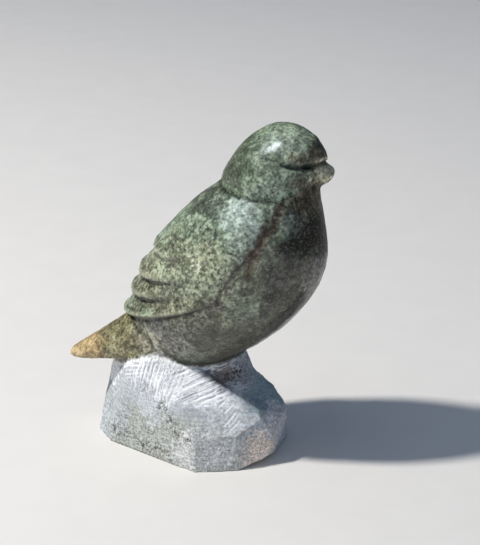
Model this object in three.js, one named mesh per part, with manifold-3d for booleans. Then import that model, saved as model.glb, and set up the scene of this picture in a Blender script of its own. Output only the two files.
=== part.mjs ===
// Songbird resting on a rough rock, carved from a single piece of soapstone.
// Millimetres, +Z up. The bird looks along +X and is the same on both sides of the XZ plane.
// The rock stands on its flat underside at z = 0, and the origin is the middle of that underside.

import * as THREE from 'three';
import { mergeVertices } from 'three/addons/utils/BufferGeometryUtils.js';
import Module from 'manifold-3d';

const wasm = await Module();
wasm.setup();

// Driving dimensions

// The sizes below are measured from a point under the bird's middle. This moves them to the origin.
const UNDERSIDE_CENTRE_X = -18.4;

// The bird is built of eggs. An egg leans up from the horizon by a number of degrees.
// Its rise, fall and half width are those of an ellipsoid, evenly spaced from its rear end to its front end.
const BODY = {
  centre: { x: -3.5, z: 63.3 },
  lean: 56,
  halfLength: 48.5,
  rise: [27, 27.3, 26.6, 25.8, 25.1, 24.6, 24],
  fall: [12, 15, 20.6, 26, 27.2, 16.8, 11.5],
  halfWidth: [12, 14, 18.8, 23, 23, 21, 18],
  around: 60,
};

// Feather tiers step down towards the tail. Each ends in a lip that bows forward on the flanks.
// Lists run from the tail forward. Angles are in degrees, along the body from its rump end,
// or round it from the middle of the back.
const TIERS = {
  lipAngles: [47.5, 60, 70.2, 83],
  step: [3, 2.1, 2, 1.6],
  lipWidth: 0.9,
  bow: 39.4,
  bowPower: 1.46, // above 1, a lip stays level over the back and sweeps forward low on the flank
  fadeFrom: [74, 40, 40, 26],
  fadeTo: [94, 64, 64, 58],
  lastLength: 0.42, // share of the way from the foremost lip to the breast over which its tier thins out
};

// The folded wing swells out a little. It runs from a rear to a front angle along the body,
// and from a low to a high angle round it.
const WING = { puff: 1.1, rear: 40, front: 146, low: 12, high: 96, soft: 24 };

const HEAD = {
  centre: { x: 10.9, z: 101.7 },
  lean: 25,
  halfLength: 19,
  rise: [8, 10.6, 13.8, 15.4, 12],
  fall: [8, 12.5, 13.6, 13, 11],
  halfWidth: [12, 15, 16, 15.5, 13],
  around: 44,
  rings: 26,
};

const FOREHEAD = {
  centre: { x: 20.5, z: 110 },
  lean: 20,
  halfLength: 6.6,
  rise: [5.2, 4.7, 4.4],
  fall: [5, 5, 5],
  halfWidth: [8, 8, 7],
  around: 24,
  rings: 12,
};

const UPPER_BEAK = {
  centre: { x: 23.8, z: 107.9 },
  lean: -28,
  halfLength: 6.4,
  rise: [4.5, 4.4, 4],
  fall: [4, 3.2, 2.4],
  halfWidth: [8, 6.6, 5],
  around: 24,
  rings: 14,
};

const LOWER_BEAK = {
  centre: { x: 25.2, z: 101.4 },
  lean: 8,
  halfLength: 6.8,
  rise: [3.4, 3.6, 3.2],
  fall: [5, 4.3, 3.6],
  halfWidth: [9, 7.4, 5.4],
  around: 24,
  rings: 14,
};

// The mouth is a round groove along both cheeks. One half runs from the cheek to the front of the beak.
const MOUTH = {
  radius: 0.8,
  sides: 8,
  steps: 48,
  line: [
    { x: 13.6, side: 14.9, z: 108.9 },
    { x: 16.3, side: 14.4, z: 108.4 },
    { x: 18.6, side: 13.3, z: 107.5 },
    { x: 20.3, side: 12.5, z: 107 },
    { x: 22.3, side: 11.3, z: 106.6 },
    { x: 24.4, side: 9.6, z: 106.5 },
    { x: 26.3, side: 7.2, z: 106.3 },
    { x: 28.1, side: 3.7, z: 105.9 },
    { x: 29.3, side: 0, z: 105.5 },
  ],
};

// The tail is an egg drawn out to a blunt tip at its rear end, a little roof shaped and flat below.
const TAIL = {
  centre: { x: -30, z: 35.4 },
  lean: 12.5,
  halfLength: 32,
  rise: [7.5, 8, 15.4, 26, 26],
  fall: [4, 4, 5, 5, 5],
  halfWidth: [10, 8.6, 11.7, 13.5, 13],
  roof: 1.12,
  around: 36,
  rings: 20,
};
const TAIL_UNDERSIDE = { at: [-60, 0, 27.4], bearing: 0, pitch: -77.5 };

const COBBLE = {
  centre: { x: -18, y: -1, z: 3 },
  half: { x: 35, y: 28, z: 38 },
  squareness: 2.5,
  around: 44,
  rings: 22,
};

// Flat cuts that trim the cobble: a point on the cut, and the bearing and pitch that it faces, in degrees.
const CUTS = {
  underside: { at: [0, 0, 0], bearing: 0, pitch: -90 },
  slopingTop: { at: [-16.6, -11, 34.3], bearing: 8.7, pitch: 59.8 },
  raspedSlope: { at: [-16.6, -11, 34.3], bearing: -71.4, pitch: 36 },
  raspedShoulder: { at: [-32.8, -11, 35.6], bearing: -112, pitch: 42 },
  longSide: { at: [-24, -20.1, 0], bearing: -116, pitch: 3.5 },
  frontCorner: { at: [-3, -24.5, 0], bearing: -72, pitch: 6 },
  nearEnd: { at: [3.1, -21.2, 12.4], bearing: -53.7, pitch: 5.9 },
  nearEndBevel: { at: [9.5, -13.5, 19.5], bearing: -22, pitch: 31 },
  liftedCorner: { at: [3.7, -22.3, 0], bearing: -30, pitch: -57 },
  beakEnd: { at: [16.6, 0, 11.8], bearing: -8, pitch: -9 },
  farShoulder: { at: [9.8, 12.1, 16.6], bearing: 31, pitch: 8 },
  farSide: { at: [9.8, 12.1, 16.6], bearing: 62, pitch: 12 },
  farSlope: { at: [-20, 17, 31], bearing: 97, pitch: 42 },
  farCorner: { at: [-34, 20.5, 6], bearing: 122, pitch: 9 },
  tailEnd: { at: [-51.4, 0, 1.5], bearing: -170, pitch: 12 },
  tailCorner: { at: [-48, -5.5, 0], bearing: -143, pitch: 10 },
};
const CUT_REACH = 200;

// The neck is a post between the rock and the belly. It spreads forward towards its foot.
const NECK = {
  x: -17,
  halfLength: 18.5,
  halfWidth: 10,
  top: 40,
  foot: 16,
  flare: 1.38, // how much wider the post is at its foot
  around: 40,
  levels: 8,
};

const STONE = { color: 0x6f7a6b, roughness: 0.5, metalness: 0 };

// Small helpers

const radians = THREE.MathUtils.degToRad;
const smooth = THREE.MathUtils.smoothstep;

// A value read off a smooth curve through evenly spaced stations, at t from 0 to 1.
function stationCurve(values) {
  const curve = new THREE.SplineCurve(values.map((value, i) => new THREE.Vector2(i, value)));
  return (t) => curve.getPoint(t).y;
}

function solidOf(geometry) {
  const bare = geometry.clone();
  bare.deleteAttribute('normal');
  bare.deleteAttribute('uv');
  const merged = mergeVertices(bare, 1e-4);
  return new wasm.Manifold(
    new wasm.Mesh({
      numProp: 3,
      vertProperties: new Float32Array(merged.attributes.position.array),
      triVerts: new Uint32Array(merged.index.array),
    }),
  );
}

function geometryOf(solid) {
  const { vertProperties, triVerts } = solid.getMesh();
  const geometry = new THREE.BufferGeometry();
  geometry.setAttribute('position', new THREE.BufferAttribute(vertProperties, 3));
  geometry.setIndex(new THREE.BufferAttribute(triVerts, 1));
  geometry.computeVertexNormals();
  return geometry;
}

// A ball whose points are moved to where place(ring, turn) says. Its poles are the first and last ring.
function pulledBall(around, rings, place) {
  const ball = new THREE.SphereGeometry(1, around, rings);
  const { position, uv } = ball.attributes;
  for (let i = 0; i < position.count; i++) {
    const ring = Math.round((1 - uv.getY(i)) * rings);
    const pole = ring === 0 || ring === rings;
    const turn = pole ? 0 : 2 * Math.PI * uv.getX(i);
    position.setXYZ(i, ...place(ring, turn));
  }
  return ball;
}

// The surface of an egg that leans in the XZ plane: angle 0 is its rear end, and turn 0 its upper side.
// Its sections are ellipses, or nearer to a roof as the value of roof goes from 1 to 2.
function eggSurface({ centre, lean, halfLength, rise, fall, halfWidth, roof = 1 }) {
  const upper = stationCurve(rise);
  const lower = stationCurve(fall);
  const side = stationCurve(halfWidth);
  const cosLean = Math.cos(radians(lean));
  const sinLean = Math.sin(radians(lean));
  const bent = (value) => Math.sign(value) * Math.abs(value) ** roof;
  return (angle, turn, swell = 0) => {
    const t = THREE.MathUtils.clamp(angle / Math.PI, 0, 1);
    const along = -halfLength * Math.cos(angle);
    const height = Math.cos(turn) > 0 ? upper(t) : lower(t);
    const across = height * Math.sin(angle) * bent(Math.cos(turn)) + swell * Math.cos(turn);
    const sideways = side(t) * Math.sin(angle) * bent(Math.sin(turn)) + swell * Math.sin(turn);
    return [
      centre.x + along * cosLean - across * sinLean,
      sideways,
      centre.z + along * sinLean + across * cosLean,
    ];
  };
}

function eggSolid(sizes) {
  const surface = eggSurface(sizes);
  const place = (ring, turn) => surface((Math.PI * ring) / sizes.rings, turn);
  return solidOf(pulledBall(sizes.around, sizes.rings, place));
}

// Everything on the outer side of a flat cut.
function wasteOf({ at, bearing, pitch }) {
  const block = new THREE.BoxGeometry(CUT_REACH, CUT_REACH, CUT_REACH);
  block.translate(CUT_REACH / 2, 0, 0);
  block.rotateY(-radians(pitch));
  block.rotateZ(radians(bearing));
  block.translate(...at);
  return solidOf(block);
}

// The body with its folded wings

// Rings of the body from rump to breast, with the tier that each one carries and how far along it is.
// At each lip two rings lie close together: the foot of the step, and the lip above it.
function bodyRings() {
  const { lipAngles, lipWidth } = TIERS;
  const rings = [];
  const fill = (from, to, count, tier) => {
    for (let i = 0; i < count; i++) {
      const share = i / count;
      rings.push({ angle: from + (to - from) * share, tier, share });
    }
  };
  fill(0, lipAngles[0] - lipWidth, 6, -1);
  lipAngles.forEach((lip, tier) => {
    rings.push({ angle: lip - lipWidth, tier: tier - 1, share: 1 });
    const last = tier === lipAngles.length - 1;
    fill(lip, last ? 180 : lipAngles[tier + 1] - lipWidth, last ? 20 : 3, tier);
  });
  rings.push({ angle: 180, tier: -1, share: 1 });
  return rings;
}

// How far a point of the body stands out for its feather tier.
function tierSwell(tier, share, round) {
  if (tier < 0) {
    return 0;
  }
  const last = tier === TIERS.lipAngles.length - 1;
  const thinning = last ? Math.max(0, 1 - share / TIERS.lastLength) : 1 - share;
  return TIERS.step[tier] * thinning * (1 - smooth(round, TIERS.fadeFrom[tier], TIERS.fadeTo[tier]));
}

function wingSwell(angle, round) {
  const { puff, rear, front, low, high, soft } = WING;
  const along = smooth(angle, rear, rear + soft) * (1 - smooth(angle, front - soft, front));
  const about = smooth(round, low, low + soft) * (1 - smooth(round, high - soft, high));
  return puff * along * about;
}

function bodySolid() {
  const surface = eggSurface(BODY);
  const rings = bodyRings();
  const firstLip = TIERS.lipAngles[0];
  const lastLip = TIERS.lipAngles[TIERS.lipAngles.length - 1];
  const place = (ring, turn) => {
    const { angle, tier, share } = rings[ring];
    const round = THREE.MathUtils.radToDeg(Math.acos(Math.cos(turn)));
    const flank = (1 - Math.cos(radians(Math.min(round, 90)))) ** TIERS.bowPower;
    const bow = TIERS.bow * flank * smooth(angle, 0, firstLip) * (1 - smooth(angle, lastLip, 160));
    return surface(radians(angle + bow), turn, tierSwell(tier, share, round) + wingSwell(angle, round));
  };
  return solidOf(pulledBall(BODY.around, rings.length - 1, place));
}

// The head, with a mouth cut between the two halves of the beak

function mouthGroove() {
  const near = MOUTH.line.map(({ x, side, z }) => new THREE.Vector3(x, -side, z));
  const far = MOUTH.line.slice(0, -1).reverse().map(({ x, side, z }) => new THREE.Vector3(x, side, z));
  const section = new THREE.Shape().absarc(0, 0, MOUTH.radius, 0, 2 * Math.PI);
  const groove = new THREE.ExtrudeGeometry(section, {
    extrudePath: new THREE.CatmullRomCurve3([...near, ...far]),
    steps: MOUTH.steps,
    curveSegments: MOUTH.sides,
  });
  return solidOf(groove);
}

function headSolid() {
  return eggSolid(HEAD)
    .add(eggSolid(FOREHEAD))
    .add(eggSolid(UPPER_BEAK))
    .add(eggSolid(LOWER_BEAK))
    .subtract(mouthGroove());
}

function tailSolid() {
  return eggSolid(TAIL).subtract(wasteOf(TAIL_UNDERSIDE));
}

// The rock is a squarish cobble, trimmed by flat cuts, with a neck that carries the bird.

function cobbleSolid() {
  const { centre, half, squareness, around, rings } = COBBLE;
  const ball = new THREE.SphereGeometry(1, around, rings);
  ball.rotateX(Math.PI / 2);
  const { position } = ball.attributes;
  const point = new THREE.Vector3();
  for (let i = 0; i < position.count; i++) {
    point.fromBufferAttribute(position, i);
    const reach = point.toArray().reduce((sum, value) => sum + Math.abs(value) ** squareness, 0);
    point.multiplyScalar(reach ** (-1 / squareness));
    position.setXYZ(i, point.x, point.y, point.z);
  }
  ball.scale(half.x, half.y, half.z);
  ball.translate(centre.x, centre.y, centre.z);
  return solidOf(ball);
}

function neckSolid() {
  const { x, halfLength, halfWidth, top, foot, flare, around, levels } = NECK;
  const spread = (z) => 1 + (flare - 1) * ((top - z) / (top - foot)) ** 2;
  const profile = [new THREE.Vector2(0, foot)];
  for (let i = 0; i <= levels; i++) {
    const z = foot + ((top - foot) * i) / levels;
    profile.push(new THREE.Vector2(spread(z), z));
  }
  profile.push(new THREE.Vector2(0, top));
  const post = new THREE.LatheGeometry(profile, around);
  post.rotateX(Math.PI / 2);
  post.scale(halfLength, halfWidth, 1);
  const { position } = post.attributes;
  for (let i = 0; i < position.count; i++) {
    const forward = halfLength * (spread(position.getZ(i)) - 1);
    position.setX(i, position.getX(i) + x + forward);
  }
  return solidOf(post);
}

function rockSolid() {
  const trimmed = Object.values(CUTS).reduce((stone, cut) => stone.subtract(wasteOf(cut)), cobbleSolid());
  return trimmed.add(neckSolid());
}

// The whole carving

const stone = bodySolid().add(headSolid()).add(tailSolid()).add(rockSolid());

const carving = new THREE.Mesh(geometryOf(stone), new THREE.MeshStandardMaterial(STONE));
carving.name = 'bird_carving';
carving.position.x = -UNDERSIDE_CENTRE_X;

const group = new THREE.Group();
group.add(carving);

export default group;
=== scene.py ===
import math

import bmesh
import bpy
import numpy as np
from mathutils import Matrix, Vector, noise
from mathutils.bvhtree import BVHTree


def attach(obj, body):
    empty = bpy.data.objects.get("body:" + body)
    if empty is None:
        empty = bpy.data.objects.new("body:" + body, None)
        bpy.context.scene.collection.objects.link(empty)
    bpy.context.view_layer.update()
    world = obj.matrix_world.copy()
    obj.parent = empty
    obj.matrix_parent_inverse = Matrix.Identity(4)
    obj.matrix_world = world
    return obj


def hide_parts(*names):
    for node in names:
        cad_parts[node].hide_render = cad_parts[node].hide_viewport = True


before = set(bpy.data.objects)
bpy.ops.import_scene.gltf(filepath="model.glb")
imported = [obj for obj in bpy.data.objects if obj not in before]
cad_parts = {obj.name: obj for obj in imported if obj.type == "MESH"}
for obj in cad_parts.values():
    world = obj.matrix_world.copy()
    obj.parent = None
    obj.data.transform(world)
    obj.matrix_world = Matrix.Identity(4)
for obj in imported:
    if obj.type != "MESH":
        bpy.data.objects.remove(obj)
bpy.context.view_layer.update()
scene = bpy.context.scene
mm = 0.001  # sizes below are in millimetres, and Blender's unit is the metre


# small helpers

def linear(red, green, blue):
    # a colour as picked on screen, 0 to 255, to the linear value that shaders take
    def channel(value):
        value /= 255.0
        return value / 12.92 if value <= 0.04045 else ((value + 0.055) / 1.055) ** 2.4
    return (channel(red), channel(green), channel(blue), 1.0)


def easeIn(values, start, end):
    # 0 up to start and 1 past end, which may lie on either side of it
    share = np.clip((values - start) / (end - start), 0.0, 1.0)
    return share * share * (3.0 - 2.0 * share)


def bell(values, width):
    return np.exp(-(values / width) ** 2)


def softNoise(points, grain, seed, octaves=2):
    # smooth noise around 0, with lumps about one grain across
    shift = Vector((seed * 17.31, seed * 5.77, seed * 9.13))
    return np.array([noise.fractal(Vector(p) / grain + shift, 1.0, 2.0, octaves) for p in points])


def feed(tree, socket, value):
    if isinstance(value, bpy.types.NodeSocket):
        tree.links.new(value, socket)
    else:
        socket.default_value = value


def fill(tree, sockets, terms):
    for socket, term in zip(sockets, terms):
        feed(tree, socket, term)


def put(tree, kind, inputs=None, **settings):
    node = tree.nodes.new(kind)
    for name, value in settings.items():
        setattr(node, name, value)
    for key, value in (inputs or {}).items():
        feed(tree, node.inputs[key], value)
    return node


def calc(tree, operation, *terms):
    node = put(tree, "ShaderNodeMath", operation=operation)
    fill(tree, node.inputs, terms)
    return node.outputs[0]


def times(tree, value, *factors):
    for factor in factors:
        value = calc(tree, "MULTIPLY", value, factor)
    return value


def swing(tree, value, amount):
    # noise around a half becomes noise around 0
    return times(tree, calc(tree, "SUBTRACT", value, 0.5), amount)


def vectorCalc(tree, operation, *terms):
    node = put(tree, "ShaderNodeVectorMath", operation=operation)
    fill(tree, node.inputs, terms)
    return node.outputs["Value" if operation in ("DOT_PRODUCT", "LENGTH") else "Vector"]


def scaled(tree, vector, factor):
    result = vectorCalc(tree, "SCALE", vector)
    feed(tree, result.node.inputs["Scale"], factor)
    return result


def ease(tree, value, start, end, first=0.0, last=1.0):
    node = put(tree, "ShaderNodeMapRange", interpolation_type="SMOOTHSTEP")
    keys = ("Value", "From Min", "From Max", "To Min", "To Max")
    fill(tree, [node.inputs[key] for key in keys], (value, start, end, first, last))
    return node.outputs["Result"]


def noisy(tree, place, scale, detail, rough=0.5):
    inputs = {"Vector": place, "Scale": scale, "Detail": detail, "Roughness": rough}
    return put(tree, "ShaderNodeTexNoise", inputs).outputs["Fac"]


def mix(tree, share, first, second):
    node = put(tree, "ShaderNodeMix", data_type="RGBA")
    fill(tree, (node.inputs[0], node.inputs[6], node.inputs[7]), (share, first, second))
    return node.outputs[2]


# camera

photoView = {
    "target": (18.4, 0.0, 64.0),
    "distance": 620.0,
    "bearing": 12.0,  # degrees round from the bird's right side towards its beak
    "height": 22.0,  # degrees above the floor
    "framedHeight": 185.3,  # what the picture's height spans at the target
    "filmHeight": 36.0,
    "nearest": 10.0,  # nothing nearer to the lens is drawn
}


def placeCamera():
    bearing = math.radians(photoView["bearing"])
    height = math.radians(photoView["height"])
    level = math.cos(height)
    away = Vector((math.sin(bearing) * level, -math.cos(bearing) * level, math.sin(height)))
    lens = bpy.data.cameras.new("photoLens")
    lens.sensor_fit = "VERTICAL"
    lens.sensor_height = photoView["filmHeight"]
    lens.lens = photoView["filmHeight"] * photoView["distance"] / photoView["framedHeight"]
    lens.clip_start = photoView["nearest"] * mm
    camera = bpy.data.objects.new("photoCamera", lens)
    camera.location = (Vector(photoView["target"]) + away * photoView["distance"]) * mm
    camera.rotation_euler = away.to_track_quat("Z", "Y").to_euler()
    scene.collection.objects.link(camera)
    scene.camera = camera


placeCamera()
print("camera placed")


# floor and light

studio = {
    "floorSize": 4000.0,
    "floorColour": linear(219, 217, 214),
    "floorShade": 0.93,  # how bright its darker parts are
    "floorMottle": 60.0,  # waves per metre
    "floorDetail": 4.0,
    "floorRoughness": 0.8,
    "lampDistance": 1200.0,
    "keyFrom": (-0.57, -0.212, 0.79),  # direction towards the key light
    "keySize": 100.0,
    "keyPower": 18.2,
    "keyColour": (1.0, 0.965, 0.91),
    "glossFrom": (-0.21, -0.25, 0.94),  # an overhead panel that shows only as gloss on the wax
    "glossSize": 600.0,
    "glossPower": 27.0,
    "glossColour": (0.86, 0.94, 1.0),
    "skyColour": (0.60, 0.74, 1.0),
    "skyStrength": 0.3,
}


def paleFloor():
    half = studio["floorSize"] / 2 * mm
    corners = [(-half, -half, 0), (half, -half, 0), (half, half, 0), (-half, half, 0)]
    mesh = bpy.data.meshes.new("floor")
    mesh.from_pydata(corners, [], [(0, 1, 2, 3)])
    floor = bpy.data.objects.new("floor", mesh)
    scene.collection.objects.link(floor)
    finish = bpy.data.materials.new("paleFloor")
    finish.use_nodes = True
    tree = finish.node_tree
    shader = tree.nodes["Principled BSDF"]
    shader.inputs["Roughness"].default_value = studio["floorRoughness"]
    place = put(tree, "ShaderNodeTexCoord").outputs["Object"]
    mottle = noisy(tree, place, studio["floorMottle"], studio["floorDetail"])
    pale = studio["floorColour"]
    shade = tuple(value * studio["floorShade"] for value in pale[:3]) + (1.0,)
    feed(tree, shader.inputs["Base Color"], mix(tree, mottle, shade, pale))
    mesh.materials.append(finish)


def lamp(name):
    towards = Vector(studio[name + "From"]).normalized()
    light = bpy.data.lights.new(name + "Light", "AREA")
    light.shape = "DISK"
    light.size = studio[name + "Size"] * mm
    light.energy = studio[name + "Power"]
    light.color = studio[name + "Colour"]
    holder = bpy.data.objects.new(name + "Light", light)
    holder.location = (Vector(photoView["target"]) + towards * studio["lampDistance"]) * mm
    holder.rotation_euler = towards.to_track_quat("Z", "Y").to_euler()
    scene.collection.objects.link(holder)
    return holder


def studioLight():
    lamp("key").visible_glossy = False
    lamp("gloss").visible_diffuse = False
    world = bpy.data.worlds.new("studioSky")
    scene.world = world
    world.use_nodes = True
    sky = world.node_tree.nodes["Background"]
    sky.inputs["Color"].default_value = studio["skyColour"] + (1.0,)
    sky.inputs["Strength"].default_value = studio["skyStrength"]
    world.cycles_visibility.glossy = False  # the sky fills the shade, and only the panel shows as gloss
    scene.view_settings.view_transform = "Standard"


paleFloor()
studioLight()
print("floor and light placed")


# the eggs that the bird is built of, for finding places on it

bodyEgg = {
    "centre": (14.9, 63.3),
    "lean": 56.0,
    "halfLength": 48.5,
    "rise": [27, 27.3, 26.6, 25.8, 25.1, 24.6, 24],
    "fall": [12, 15, 20.6, 26, 27.2, 16.8, 11.5],
    "halfWidth": [12, 14, 18.8, 23, 23, 21, 18],
}
headEgg = {
    "centre": (29.3, 101.7),
    "lean": 25.0,
    "halfLength": 19.0,
    "rise": [8, 10.6, 13.8, 15.4, 12],
    "fall": [8, 12.5, 13.6, 13, 11],
    "halfWidth": [12, 15, 16, 15.5, 13],
}
tailEgg = {
    "centre": (-11.6, 35.4),
    "lean": 12.5,
    "halfLength": 32.0,
    "rise": [7.5, 8, 15.4, 26, 26],
    "fall": [4, 4, 5, 5, 5],
    "halfWidth": [10, 8.6, 11.7, 13.5, 13],
}

# a region is absent at the first value and full at the second; length runs from tail to beak
regions = {
    "belly": {"length": (-12, -6), "height": (56, 48)},
    "tail": {"length": (-8, -14), "height": (50, 44)},
    "tailTip": {"length": (-26, -36)},
    "belowThroat": {"height": (93, 86)},
    "lowFront": {"height": (80, 66)},
    "frontOfNape": {"length": (28, 37)},
    "behindThroat": {"length": (36, 30)},
    "head": {"height": (98, 102)},
    "crown": {"height": (109, 113)},
    "beak": {"length": (43, 46), "height": (97, 99)},
    "beakEdges": {"length": (37, 43), "height": (96, 99)},
    "lowerBeak": {"length": (44.5, 46.5), "height": (105.6, 104.5)},
    "openMouth": {"length": (32.5, 37)},
    "belowBird": {"height": (42, 38)},
    "frayedRim": {"length": (-2, -9)},
    "rimBelowTail": {"length": (4, -6)},
    "rockTailEnd": {"length": (2, -10)},
    "rockLongSide": {"length": (17, 10), "height": (29, 24)},
    "upperRock": {"height": (12, 20)},
    "clearOfFloor": {"height": (0, 1.2)},
}


def within(points, name):
    share = np.ones(len(points))
    for key, axis in (("length", 0), ("height", 2)):
        if key in regions[name]:
            share = share * easeIn(points[:, axis], *regions[name][key])
    return share


def eggField(points, egg):
    # degrees along the egg from its rear end, degrees round it from its back, and the gap to its surface
    lean = math.radians(egg["lean"])
    dx = points[:, 0] - egg["centre"][0]
    dz = points[:, 2] - egg["centre"][1]
    along = dx * math.cos(lean) + dz * math.sin(lean)
    across = dz * math.cos(lean) - dx * math.sin(lean)
    angle = np.arccos(np.clip(-along / egg["halfLength"], -0.995, 0.995))
    stations = np.linspace(0.0, math.pi, len(egg["rise"]))
    sides = np.linspace(0.0, math.pi, len(egg["halfWidth"]))
    upper = np.interp(angle, stations, egg["rise"])
    lower = np.interp(angle, stations, egg["fall"])
    height = np.where(across > 0, upper, lower) * np.sin(angle)
    width = np.interp(angle, sides, egg["halfWidth"]) * np.sin(angle)
    stretch = np.maximum(np.hypot(across / height, points[:, 1] / width), 1e-3)
    gap = np.hypot(across, points[:, 1]) * (1.0 - 1.0 / stretch)
    gap += np.maximum(np.abs(along) - egg["halfLength"], 0.0)
    turn = np.degrees(np.arctan2(np.abs(points[:, 1]) / width, across / height))
    return np.degrees(angle), turn, gap


def farFrom(points, middle, reach):
    return np.linalg.norm((points - np.array(middle)) / np.array(reach), axis=1)


def pathGap(points, path):
    # distance from each point to a chain of straight lines
    best = np.full(len(points), np.inf)
    for start, end in zip(np.array(path[:-1], float), np.array(path[1:], float)):
        step = end - start
        share = np.clip((points - start) @ step / (step @ step), 0.0, 1.0)
        best = np.minimum(best, np.linalg.norm(points - start - share[:, None] * step, axis=1))
    return best


# the carving

carving = {
    "node": "bird_carving",
    "merge": 0.0005,  # corners of the solid that lie closer are one
    "voxel": 0.8,  # mesh size on plain areas, and half of it where there is fine work
    "fineSide": 3.0,  # the rock is fine on the near side of this, and anywhere above the next
    "fineHeight": 22.0,
    "fineFloor": 0.4,
    "flatBelow": 0.05,  # what lies lower is the underside
    "rubIn": 0.5,  # a step in, then a slightly longer step out, so that nothing shrinks
    "rubOut": -0.52,
    "rubRounds": 26,
    "wornRounds": 70,  # worn places are rubbed further: the rock's round parts, the crease and the cheek
    "napeWorn": 0.25,
    "cheekReach": (3.5, 2.0),
    "mouthSpared": 0.9,
    "edgeRounds": 3,
    "edgeRub": 0.7,  # how far crisp edges are broken
    "beakCrisp": 0.8,
    "rockStart": (0.3, 1.1),  # how far off the bird the rock begins, and is full
    "longSideRound": 0.5,
    "rimFray": 0.6,  # how far the rasp frays the rock's rim below the tail
    "rimGrain": 1.1,
    "rimSeed": 41,
    "unevenness": 0.2,  # how far a hand-rubbed surface wanders, in broad lumps and small dimples
    "lump": 10.0,
    "dimple": 4.0,
    "dimpleShare": 0.6,
    "rockUnevenness": 0.3,
    "rockLump": 6.0,
    "creaseReach": (4.5, 1.0),
    "creaseDepth": 0.3,
    "creaseWidth": 0.8,
    "seed": 7,
}

# lists run from the tail forward; angles are degrees along the body from its rump, or round from its back
feathers = {
    "lipAngles": [47.5, 60.0, 70.2, 83.0],
    "bow": 39.4,  # how far the lips sweep forward on the flanks
    "bowPower": 1.46,
    "fadeFrom": [74.0, 40.0, 40.0, 26.0],
    "fadeTo": [96.0, 68.0, 66.0, 62.0],
    "crisp": [1.0, 1.0, 1.0, 0.45],
    "roll": [0.45, 0.5, 0.5, 0.25],  # how far a lip is rolled out, in millimetres
    "rollAt": 1.4,
    "rollWidth": 1.1,
    "undercut": [0.9, 0.4, 0.4, 0.1],
    "undercutAt": -0.8,
    "undercutWidth": 0.6,
    "perDegree": 0.8,  # millimetres along the body for one degree
    "swell": 1.2,  # how far the tiers stand off the body, on average
    "onBody": (4.4, 2.6),
    "crispReach": (3.4, 1.6),
    "crispFrom": (0.05, 0.4),
    "fineAt": 0.4,
    "fineReach": 2.2,
}

mouth = {
    "path": [(32, 14.9, 108.9), (34.7, 14.4, 108.4), (37, 13.3, 107.5), (38.7, 12.5, 107),
             (40.7, 11.3, 106.6), (42.8, 9.6, 106.5), (44.7, 7.2, 106.3), (46.5, 3.7, 105.9),
             (47.7, 0, 105.5)],
    "depth": 1.4,
    "width": 0.5,
    "fineReach": 2.5,
    "softBeside": (1.4, 2.8),  # the beak's edges are kept past this
    "pocketAt": 39.5,  # the mouth is widest here
    "pocketLength": 3.2,
    "pocketWidth": 0.55,
}

flankRidge = {
    "path": [(-12.3, -11.3, 47.3), (-10.8, -11.8, 44.7), (-9.5, -11.8, 41.8), (-8.2, -11.8, 39.2),
             (-6.3, -12, 37)],
    "height": 0.5,
    "width": 0.8,
    "pale": 0.6,  # how pale its top is rubbed
    "colour": linear(190, 186, 164),
}

veinsAndLipShadow = {
    "edgeShade": {
        "path": [(34.4, -14.8, 94), (34, -16.6, 90.5), (32, -18.5, 87)],
        "depth": 0, "width": 1, "stain": 1.8, "strength": 0.8, "colour": linear(60, 50, 42),
    },
    "rustUpper": {
        "path": [(32, -18.5, 87), (29.9, -19.7, 84.1), (27.4, -20.9, 80.2)],
        "depth": 0.05, "width": 0.8, "stain": 1.7, "strength": 0.95, "colour": linear(72, 40, 29),
    },
    "rustLower": {
        "path": [(27.4, -20.9, 80.2), (26.4, -21.6, 77), (25.8, -22.1, 71.5)],
        "depth": 0.05, "width": 0.6, "stain": 1.3, "strength": 0.85, "colour": linear(72, 44, 33),
    },
    "wingEdge": {
        "path": [(34, -16.6, 90.5), (32, -18.5, 87), (29.4, -19.8, 84.1), (27.4, -20.9, 80.2),
                 (24.8, -21.9, 77), (22, -22.6, 74.2), (20.2, -23, 71.4), (17.3, -23.3, 66.9),
                 (15.2, -22.8, 62)],
        "depth": 0.15, "width": 0.5, "stain": 0.8, "strength": 0.85, "colour": linear(48, 40, 34),
    },
    # painted shadow: a shallow groove under the lowest feather lip, painted near black for the shade its
    # undercut casts
    "lipUndercutShadow": {
        "path": [(-11, -14.9, 50.9), (-6.2, -17.6, 51.9), (-2.4, -17.6, 52.6), (3.2, -19.9, 54.9),
                 (6.3, -21, 56.6), (8.8, -21.7, 58.2)],
        "depth": 0.3, "width": 0.5, "stain": 0.85, "strength": 1, "colour": linear(20, 20, 17),
    },
    "breastCrack": {
        "path": [(30.1, -20.4, 79.2), (31.9, -19.9, 79.1), (33.2, -19.7, 76.7), (32.7, -20.1, 72.2),
                 (32, -20, 66.9), (30.1, -20.2, 63.2), (28.7, -18.1, 55)],
        "depth": 0.12, "width": 0.45, "stain": 0.5, "strength": 0.75, "colour": linear(46, 46, 42),
    },
}


def readFlat(items, field, width, kind=float):
    flat = np.empty(len(items) * width, dtype=kind)
    items.foreach_get(field, flat)
    return flat.reshape(-1, width)


def readPoints(mesh):
    return readFlat(mesh.vertices, "co", 3) / mm


def writePoints(mesh, points):
    mesh.vertices.foreach_set("co", (points * mm).ravel())
    mesh.update()


def readNormals(mesh):
    return readFlat(mesh.vertex_normals, "vector", 3)


def readEdges(mesh):
    return readFlat(mesh.edges, "vertices", 2, np.int32)


def neighbourMean(points, edges):
    count = len(points)
    ends = np.concatenate([edges[:, 0], edges[:, 1]])
    others = np.concatenate([edges[:, 1], edges[:, 0]])
    degree = np.maximum(np.bincount(ends, minlength=count), 1)
    total = [np.bincount(ends, points[others, axis], minlength=count) for axis in range(3)]
    return np.stack(total, axis=1) / degree[:, None]


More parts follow.
